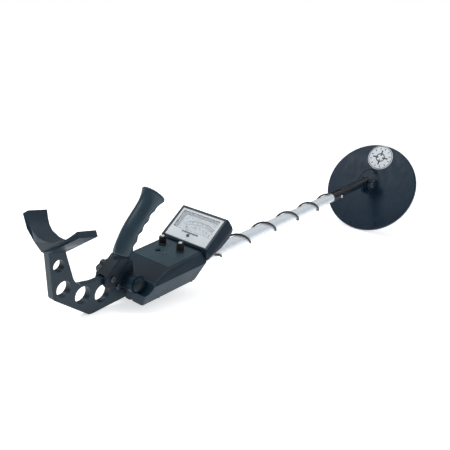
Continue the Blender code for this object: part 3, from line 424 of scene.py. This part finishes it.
def put(name, bm, look, body, replaces=(), smooth=SHARP_ANGLE):
    """A visible piece made of a mesh in the shaft's frame, on a body and a material slot."""
    bmesh.ops.recalc_face_normals(bm, faces=bm.faces)
    bm.transform(SHAFT)
    mesh = bpy.data.meshes.new(name)
    bm.to_mesh(mesh)
    bm.free()
    mesh.materials.append(look)
    for face in mesh.polygons:
        face.use_smooth = True
    mesh.set_sharp_from_angle(angle=radians(smooth))
    obj = bpy.data.objects.new(name, mesh)
    bpy.context.scene.collection.objects.link(obj)
    if body:
        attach(obj, body)
    if replaces:
        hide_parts(*replaces)
    return obj


def loft(rings, bm=None):
    """Rings of points with equal counts, joined in order and capped at both ends."""
    bm = bm or bmesh.new()
    rows = [[bm.verts.new(p) for p in ring] for ring in rings]
    count = len(rows[0])
    for near, far in zip(rows, rows[1:]):
        for i in range(count):
            j = (i + 1) % count
            bm.faces.new((near[i], near[j], far[j], far[i]))
    bm.faces.new(rows[0][::-1])
    bm.faces.new(rows[-1])
    return bm


def ring_round(centre, axis, radius, segments, flutes=0, depth=0.0):
    """A ring of points square to an axis, with its radius cut into flutes."""
    direction = Vector(axis).normalized()
    side = Vector((0, 1, 0))
    across = direction.cross(side)
    points = []
    for i in range(segments):
        a = 2 * pi * i / segments
        r = radius - depth * (0.5 - 0.5 * cos(flutes * a)) ** 2
        points.append(Vector(centre) + side * (r * cos(a)) + across * (r * sin(a)))
    return points


def turned(profile, start, axis, segments, flutes=0, depth=lambda along: 0.0, bm=None):
    """A solid turned from (distance along, radius) pairs, fluted where depth is above 0."""
    direction = Vector(axis).normalized()
    rings = [
        ring_round(Vector(start) + direction * along, axis, radius, segments, flutes, depth(along))
        for along, radius in profile
    ]
    return loft(rings, bm)


def ribbon(points, width, place, low, high, bm=None):
    """A thin raised line through flat points (up, y), laid on a face by place(up, y, out)."""
    flat = [Vector(p) for p in points]
    ends = [flat[0]] + flat + [flat[-1]]
    rings = []
    for before, here, after in zip(ends, flat, ends[2:]):
        run = (after - before).normalized()
        side = Vector((-run.y, run.x)) * (width / 2)
        left, right = here + side, here - side
        corners = ((left, low), (left, high), (right, high), (right, low))
        rings.append([place(*side_point, out) for side_point, out in corners])
    return loft(rings, bm)


def smooth_path(points, spacing):
    """Points about one spacing apart along a Catmull-Rom curve through the given ones."""
    knots = [Vector(p) for p in points]
    knots = [2 * knots[0] - knots[1]] + knots + [2 * knots[-1] - knots[-2]]
    path = []
    for a, b, c, d in zip(knots, knots[1:], knots[2:], knots[3:]):
        steps = max(1, round((c - b).length / spacing))
        for i in range(steps):
            t = i / steps
            square = (2 * a - 5 * b + 4 * c - d) * t * t
            cube = (3 * b - a - 3 * c + d) * t ** 3
            path.append(0.5 * ((2 * b) + (c - a) * t + square + cube))
    path.append(knots[-2])
    return path


# Coil cable: out of the box, round the tube, over the collar, and down into the coil

WIND_RADIUS = 12.05
WIND_START_X = -141.0
WIND_START_ANGLE = 200.0
WIND_END_X = 232.0
WIND_SWEEP = 1690.0
WIND_STEPS = 150
OVER_COLLAR = 12.8
COLLAR_XS = (242.0, 256.0, 290.0, 310.0, 330.0, 345.0)
GLAND_OUTS = (16, 9.3, 7.5)


def around_tube(x, angle, radius):
    return (x, radius * cos(radians(angle)), radius * sin(radians(angle)))


def cable_route():
    """Out of the box's front wall, round the tube, and over the collar to the stem."""
    route = [(-211.13, 6.0, 14.2), around_tube(-203.0, 74, 13.65)]
    route += [around_tube(-182.0, 112, WIND_RADIUS), around_tube(-161.0, 160, WIND_RADIUS)]
    for i in range(WIND_STEPS + 1):
        t = i / WIND_STEPS
        x = WIND_START_X + (WIND_END_X - WIND_START_X) * t
        route.append(around_tube(x, WIND_START_ANGLE + WIND_SWEEP * t, WIND_RADIUS))
    return route + [(x, 0, OVER_COLLAR) for x in COLLAR_XS]


def tail_route():
    """From the stem, in an arch, down into the coil's gland."""
    route = [(345.3, 0, OVER_COLLAR), (358, 0, OVER_COLLAR), (370, 0, 13.4), (380, 0, 16.0)]
    route += [(393, 0, 22.7), (410, 0, 28.7), (430, 0, 30.7), (448, 0, 29.2)]
    return route + [on_coil(GLAND_UP, 0, out) for out in GLAND_OUTS]


def cable(name, route, spacing, segments=14):
    """A round tube along a route, with its rings' directions carried along so it doesn't twist."""
    path = smooth_path(route, spacing)
    ends = [path[0]] + path + [path[-1]]
    side = Vector((0, 1, 0))
    rings = []
    for before, here, after in zip(ends, path, ends[2:]):
        run = (after - before).normalized()
        side = (side - run * side.dot(run)).normalized()
        up = run.cross(side)
        angles = [2 * pi * i / segments for i in range(segments)]
        rings.append([here + (side * cos(a) + up * sin(a)) * CABLE_RADIUS for a in angles])
    return put(name, loft(rings), jacket_look, None)


wound = cable("coil_cable", cable_route(), 2.5)
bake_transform(wound)
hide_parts("cable_wound", "cable_on_stem")
tail = cable("coil_cable_tail", tail_route(), 2.0)
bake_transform(tail)
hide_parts("cable_to_coil")


def strain_relief():
    """The ribbed boot where the cable enters the coil."""
    profile = [(0.3, 2.6), (0.3, 4.6), (2.4, 4.4)]
    for k in range(5):
        along = 2.8 + 1.25 * k
        full = 3.95 - 0.24 * k
        profile += [(along, full - 0.5), (along + 0.2, full)]
        profile += [(along + 0.75, full), (along + 0.95, full - 0.5)]
    profile += [(9.0, 2.4), (9.0, 1.9)]
    return turned(profile, on_coil(GLAND_UP, 0), COIL_NORMAL, 32)


put("coil_strain_relief", strain_relief(), soft_look, "coil", ["coil_gland"])

# Handle grip: four finger grooves in front, a flared upper end, and a parting line

GRIP_SEGMENTS = 56
GRIP_FLATTENING = 0.95
FLARE_START = 0.72
FOOT_ROUNDING = 0.02
GROOVE_START = 0.1
GROOVE_SPAN = 0.72
GROOVES = 4
GROOVE_DEPTH = 2.8
FINGER_SWELL = 1.2
PARTING_HEIGHT = 0.22


def grip():
    line = smooth_path([(x, 0, z) for x, z in GRIP_LINE], 1.0)
    ends = [line[0]] + line + [line[-1]]
    side = Vector((0, 1, 0))
    count = len(line) - 1
    rings = []
    for k, (before, here, after) in enumerate(zip(ends, line, ends[2:])):
        axis = (after - before).normalized()
        front = Vector((axis.z, 0, -axis.x))
        t = k / count
        flare = max(0.0, (t - FLARE_START) / (1 - FLARE_START))
        radius = GRIP_RADIUS + (FLANGE_RADIUS - GRIP_RADIUS) * flare ** 2.6
        if t < FOOT_ROUNDING:
            radius -= 0.8 * (1 - t / FOOT_ROUNDING)
        in_grooves = min(1.0, max(0.0, (t - 0.07) / 0.05)) * min(1.0, max(0.0, (0.87 - t) / 0.05))
        wave = 0.5 - 0.5 * cos(2 * pi * (t - GROOVE_START) / GROOVE_SPAN * GROOVES)
        ring = []
        for i in range(GRIP_SEGMENTS):
            a = 2 * pi * i / GRIP_SEGMENTS
            facing = max(0.0, cos(a)) ** 1.5
            parting = PARTING_HEIGHT * max(0.0, 1 - abs(abs(cos(a)) - 1) / 0.0008)
            r = radius + (FINGER_SWELL - GROOVE_DEPTH * wave) * facing * in_grooves + parting
            ring.append(here + front * (r * cos(a)) + side * (GRIP_FLATTENING * r * sin(a)))
        rings.append(ring)
    return loft(rings)


put("finger_grip", grip(), grip_look, "arm", ["handle_grip"], smooth=50)

# Panel knobs: a fluted skirt, a white cap, and a raised white pointer

KNOB_SKIRT = [
    (2.6, KNOB_RADIUS + 0.2),
    (2.8, KNOB_RADIUS + 0.5),
    (3.6, KNOB_RADIUS + 0.45),
    (3.9, KNOB_RADIUS),
    (4.6, KNOB_RADIUS),
    (KNOB_HEIGHT - 1.3, KNOB_RADIUS - 0.3),
    (KNOB_HEIGHT - 0.5, KNOB_RADIUS - 0.7),
    (KNOB_HEIGHT, KNOB_RADIUS - 1.3),
    (KNOB_HEIGHT, 4.0),
    (KNOB_HEIGHT - 0.3, 3.6),
]
KNOB_CAP = [(12.6, 2.5), (13.3, 2.7), (14.0, 2.5), (14.4, 1.6), (14.5, 0.5)]
FLUTES = 24
FLUTE_DEPTH = 0.55
POINTER_WIDTH = 0.9


def knob_depth(along):
    return FLUTE_DEPTH if 3.8 < along < KNOB_HEIGHT - 1.2 else 0.0


def on_knob(foot):
    """Places ribbon's flat points on top of the knob that stands at foot."""

    def place(up, y, out):
        return foot + Vector((PANEL_NORMAL.z * up, y, -PANEL_NORMAL.x * up)) + PANEL_NORMAL * out

    return place


def panel_knob(side_name, knob_y):
    dial = f"{side_name}_dial"
    foot = on_panel(KNOB_X, knob_y)
    knob = turned(KNOB_SKIRT, foot, PANEL_NORMAL, 144, FLUTES, knob_depth)
    put(f"{side_name}_fluted_knob", knob, knob_look, dial, [f"{side_name}_knob"])
    cap = turned(KNOB_CAP, foot, PANEL_NORMAL, 40)
    replaced = [f"{side_name}_knob_cap"]
    put(f"{side_name}_white_cap", cap, white_look, dial, replaced)
    line = [(3.2, 0), (4.1, 0)]
    reach = (KNOB_HEIGHT - 0.4, KNOB_HEIGHT + 0.25)
    pointer = ribbon(line, POINTER_WIDTH, on_knob(foot), *reach)
    put(f"{side_name}_pointer", pointer, white_look, dial)


for side, across in KNOBS.items():
    panel_knob(side, across)

# The film on the control panel, cut round the controls: a thin inset sheet whose lighter tone is
# partly painted light, standing in for the upward-facing panel catching more light than the rear
# slope

FILM_SIDE_MARGIN = 3.2
FILM_BACK_MARGIN = 3.0
FILM_FRONT_MARGIN = 3.5
FILM_HOLES = [((KNOB_X, knob_y), 4.3) for knob_y in KNOBS.values()]
FILM_HOLES += [(RETUNE_AT, 3.9), (LAMP_AT, 2.5)]


def panel_film():
    """The film before its holes are cut."""
    half = PANEL_HALF - FILM_SIDE_MARGIN
    back = PANEL_BACK[0] + FILM_BACK_MARGIN
    front = PANEL_FRONT[0] - FILM_FRONT_MARGIN
    outline = [(back, -half), (front, -half), (front, half), (back, half)]
    bm = bmesh.new()
    floor_ring = [bm.verts.new(on_panel(x, y)) for x, y in outline]
    top_ring = [bm.verts.new(on_panel(x, y, FILM_THICKNESS)) for x, y in outline]
    bm.faces.new(floor_ring)
    bm.faces.new(top_ring)
    for i in range(4):
        j = (i + 1) % 4
        bm.faces.new((floor_ring[i], floor_ring[j], top_ring[j], top_ring[i]))
    return bm


def film_cutter():
    bm = bmesh.new()
    for centre, radius in FILM_HOLES:
        turned([(-2, radius), (2, radius)], on_panel(*centre), PANEL_NORMAL, 48, bm=bm)
    return bm


def cut_film():
    film = put("panel_film", panel_film(), film_painted_light_look, "main")
    cutter = put("film_cutter", film_cutter(), film_painted_light_look, None)
    holes = film.modifiers.new("holes", "BOOLEAN")
    holes.operation = "DIFFERENCE"
    holes.solver = "EXACT"
    holes.object = cutter
    bpy.context.view_layer.update()
    evaluated = film.evaluated_get(bpy.context.evaluated_depsgraph_get())
    cut_mesh = bpy.data.meshes.new_from_object(evaluated)
    film.modifiers.clear()
    film.data = cut_mesh
    for face in cut_mesh.polygons:
        face.use_smooth = False
    bpy.data.objects.remove(cutter)


cut_film()

# Marks round each knob on the panel: plain ticks, generic

TICK_START = 7.6
TICK_END = 8.7
LONG_TICK_END = 9.4
LONG_TICKS = (0, 5, 10)


def knob_scale(side_name, knob_y):
    ticks = bmesh.new()
    for k in range(11):
        a = radians(-150 + 30 * k)
        reach = (TICK_START, LONG_TICK_END if k in LONG_TICKS else TICK_END)
        ends = [(KNOB_X + r * cos(a), knob_y + r * sin(a)) for r in reach]
        ribbon(ends, 0.45, on_panel, *FILM_PRINT, ticks)
    ink = printed(f"{side_name}_scale_ink", (0.30, 0.34, 0.37))
    put(f"{side_name}_knob_scale", ticks, ink, "main")


for side, across in KNOBS.items():
    knob_scale(side, across)

# Meter dial: generic scale, numbers and marks

SCALE_CENTRE = (-27.5, -5.0)
SCALE_RADIUS = 65.0
SCALE_START = 22
SCALE_SWEEP = 45
SCALE_END = SCALE_START - SCALE_SWEEP
ZONE_START = -9
MINOR_STEPS = 30
FIGURES = 7
FIGURE_SIZE = 5.6


def scale_point(angle, radius=SCALE_RADIUS):
    a = radians(angle)
    return (SCALE_CENTRE[0] + radius * cos(a), SCALE_CENTRE[1] + radius * sin(a))


def scale_line(radius, start, end, width, bm):
    points = [scale_point(start + (end - start) * i / 40, radius) for i in range(41)]
    ribbon(points, width, on_meter, *DIAL_PRINT, bm)


def numbers(items):
    """Number shapes laid on the dial, each centred on its (up, y)."""
    bm = bmesh.new()
    for text, (up, y) in items:
        letters = bpy.data.curves.new("number", "FONT")
        letters.body = text
        letters.size = FIGURE_SIZE
        letters.align_x = "CENTER"
        letters.align_y = "CENTER"
        letters.extrude = 0.05
        letters.resolution_u = 3
        holder = bpy.data.objects.new("number", letters)
        shape = bpy.data.meshes.new_from_object(holder)
        for vertex in shape.vertices:
            tx, ty, tz = vertex.co
            vertex.co = on_meter(up + ty, y - tx, FIGURE_OUT + tz)
        bm.from_mesh(shape)
        bpy.data.objects.remove(holder)
        bpy.data.curves.remove(letters)
        bpy.data.meshes.remove(shape)
    return bm


scale = bmesh.new()
scale_line(SCALE_RADIUS, SCALE_START, SCALE_END, 1.3, scale)
scale_line(SCALE_RADIUS - 5.0, SCALE_START, SCALE_END, 0.7, scale)
for k in range(MINOR_STEPS + 1):
    tick_angle = SCALE_START - SCALE_SWEEP * k / MINOR_STEPS
    reach, tick_width = (3.4, 1.0) if k % 5 == 0 else (1.8, 0.6)
    line = [scale_point(tick_angle, radius) for radius in (SCALE_RADIUS, SCALE_RADIUS - reach)]
    ribbon(line, tick_width, on_meter, *DIAL_PRINT, scale)
put("dial_scale", scale, ink_look, "main")

# A painted shadow along the window's upper and left edges, as in the photo: a dark band standing
# in for the shade inside the window's recess

shadow_band = bmesh.new()
band_up = WINDOW_HIGH - 1.0
band_y = WINDOW_HALF - 1.4
upper_band = [(band_up, WINDOW_HALF), (band_up, -WINDOW_HALF)]
left_band = [(WINDOW_LOW, band_y), (WINDOW_HIGH - 2.3, band_y)]
ribbon(upper_band, 2.6, on_meter, *PAINTED_SHADOW_LAYER, shadow_band)
ribbon(left_band, 3.8, on_meter, *PAINTED_SHADOW_LAYER, shadow_band)
put("dial_painted_shadow", shadow_band, painted_shadow_look, "main")

zone = bmesh.new()
scale_line(SCALE_RADIUS - 3.0, ZONE_START, SCALE_END, 1.6, zone)
put("dial_zone", zone, red_look, "main")

figures = []
for k in range(FIGURES):
    figure_angle = SCALE_START - SCALE_SWEEP * k / (FIGURES - 1)
    figures.append((str(k), scale_point(figure_angle, SCALE_RADIUS - 10.2)))
put("dial_numbers", numbers(figures), ink_look, "main")

# A plain line with five ticks on the meter's frame

LINE_UP = 13.6
frame_mark = bmesh.new()
ribbon([(LINE_UP, 14.0), (LINE_UP, -15.0)], 1.8, on_meter, *FRAME_PRINT, frame_mark)
for k in range(5):
    tick_y = 13.6 - 7.0 * k
    ribbon([(11.4, tick_y), (LINE_UP, tick_y)], 0.8, on_meter, *FRAME_PRINT, frame_mark)
put("frame_mark", frame_mark, mark_look, "main")

# Coil label: two plain rings, a cross and twelve ticks, generic


def on_label(up, y, out):
    return on_coil(LABEL_UP + up, y, out)


# A ring stops a hair short of closing, so that its two ends don't share a face

RING_SWEEP = 359.5
RING_STEPS = 72


def ring_line(radius):
    angles = [radians(RING_SWEEP * i / RING_STEPS) for i in range(RING_STEPS + 1)]
    return [(radius * cos(a), radius * sin(a)) for a in angles]


def spokes(count, first, inner, outer, width, bm):
    """Short radial lines, evenly spaced from a first angle in degrees."""
    for k in range(count):
        a = radians(first + 360 / count * k)
        ends = [(r * cos(a), r * sin(a)) for r in (inner, outer)]
        ribbon(ends, width, on_label, *LABEL_PRINT, bm)


marks = bmesh.new()
for ring_radius, ring_width in ((LABEL_RADIUS - 2.2, 1.4), (9.5, 2.4)):
    ribbon(ring_line(ring_radius), ring_width, on_label, *LABEL_PRINT, marks)
spokes(4, 0, 4.5, 18.0, 3.4, marks)
spokes(12, 15, 20.0, 24.0, 2.0, marks)
put("label_marks", marks, mark_look, "coil")

# The handle screws' recesses: a dark cross of painted shadow standing a hair proud of each head,
# in place of a hollow

RECESS_RADIUS = 2.3
RECESS_WIDTH = RECESS_RADIUS * 0.42


def cross_recess(name, centre):
    """A cross-head recess on a screw that faces the machine's right, on the arm, drawn as a raised
    cross of painted shadow.
    """
    normal = Vector((0, -1, 0))
    along = normal.orthogonal().normalized()
    square = normal.cross(along)
    bm = bmesh.new()

    def place(u, v, out):
        return Vector(centre) + along * u + square * v + normal * out

    ends = (-RECESS_RADIUS, RECESS_RADIUS)
    ribbon([(end, 0) for end in ends], RECESS_WIDTH, place, -0.3, 0.05, bm)
    ribbon([(0, end) for end in ends], RECESS_WIDTH, place, -0.3, 0.06, bm)
    put(name, bm, recess_shadow_look, "arm")


for i, (screw_x, screw_z) in enumerate(HANDLE_SCREWS, 1):
    cross_recess(f"handle_screw_{i}_recess", (screw_x, HANDLE_SIDE, screw_z))

# Studio: a white floor a little below the machine, a world, three softboxes, and the camera

FLOOR_SIZE = 12
FLOOR_Z = -0.0006
FLOOR_GLOW = 0.62
WORLD_RISE = {"From Min": 0.0, "From Max": 0.9, "To Min": 0.12, "To Max": 0.58}
CAMERA_LENS = 43.784
CAMERA_SENSOR = 36.0
CAMERA_AT = (-0.828995, -0.45292, 0.293597)
CAMERA_RIGHT = (0.583197, -0.796348, 0.160348)
CAMERA_UP = (0.117490, 0.278008, 0.953366)


def studio_floor():
    bm = bmesh.new()
    bmesh.ops.create_grid(bm, x_segments=2, y_segments=2, size=FLOOR_SIZE)
    mesh = bpy.data.meshes.new("studio_floor")
    bm.to_mesh(mesh)
    bm.free()
    look = Look("studio_paper")
    tone = look.spread(look.noise(3, 2), 0, 1)
    look.feed(look.mixed(tone, (0.93, 0.93, 0.93), (0.95, 0.95, 0.95)), "Base Color")
    look.fix(Roughness=0.9, Specular_IOR_Level=0.1)
    look.fix(Emission_Color=(1, 1, 1, 1), Emission_Strength=FLOOR_GLOW)
    mesh.materials.append(look.material)
    floor = bpy.data.objects.new("studio_floor", mesh)
    floor.location.z = FLOOR_Z
    bpy.context.scene.collection.objects.link(floor)


def studio_world():
    """Light that grows with height, and plain white where the camera sees the world itself."""
    world = bpy.data.worlds.new("studio")
    bpy.context.scene.world = world
    world.use_nodes = True
    tree = world.node_tree
    background = tree.nodes["Background"]
    direction = tree.nodes.new("ShaderNodeTexCoord")
    parts = tree.nodes.new("ShaderNodeSeparateXYZ")
    tree.links.new(direction.outputs["Generated"], parts.inputs["Vector"])
    rise = tree.nodes.new("ShaderNodeMapRange")
    for name, number in WORLD_RISE.items():
        rise.inputs[name].default_value = number
    tree.links.new(parts.outputs["Z"], rise.inputs["Value"])
    path = tree.nodes.new("ShaderNodeLightPath")
    pick = tree.nodes.new("ShaderNodeMix")
    tree.links.new(path.outputs["Is Camera Ray"], pick.inputs[0])
    tree.links.new(rise.outputs["Result"], pick.inputs[2])
    pick.inputs[3].default_value = 1.0
    tree.links.new(pick.outputs[0], background.inputs["Strength"])
    background.inputs["Color"].default_value = (1.0, 1.0, 1.0, 1.0)


def softbox(name, place, aim, size, power, colour):
    light = bpy.data.lights.new(name, "AREA")
    light.shape = "RECTANGLE"
    light.size, light.size_y = size
    light.energy = power
    light.color = colour
    lamp = bpy.data.objects.new(name, light)
    bpy.context.scene.collection.objects.link(lamp)
    lamp.location = place
    lamp.rotation_euler = (Vector(aim) - Vector(place)).to_track_quat("-Z", "Y").to_euler()


def camera():
    """The photograph's viewpoint: behind, to the right of, and a little above the machine."""
    lens = bpy.data.cameras.new("camera")
    lens.lens = CAMERA_LENS
    lens.sensor_width = CAMERA_SENSOR
    lens.clip_start = 0.01
    lens.clip_end = 50.0
    eye = bpy.data.objects.new("camera", lens)
    bpy.context.scene.collection.objects.link(eye)
    right = Vector(CAMERA_RIGHT)
    up = Vector(CAMERA_UP)
    back = right.cross(up)
    place = Matrix((right, up, back)).transposed().to_4x4()
    place.translation = CAMERA_AT
    eye.matrix_world = place
    bpy.context.scene.camera = eye


studio_floor()
studio_world()
softbox("key", (-0.9, 0.9, 1.5), (0, 0, 0.1), (1.2, 0.9), 13, (0.9, 0.96, 1.0))
softbox("side", (0.5, -1.5, 0.8), (0, 0, 0.1), (1.2, 0.7), 4, (0.75, 0.88, 1.0))
softbox("top", (0.2, 0.1, 2.0), (0.1, 0, 0.1), (1.6, 1.2), 9, (0.94, 0.98, 1.0))
camera()
bpy.context.scene.view_settings.view_transform = "Standard"

bpy.context.view_layer.update()
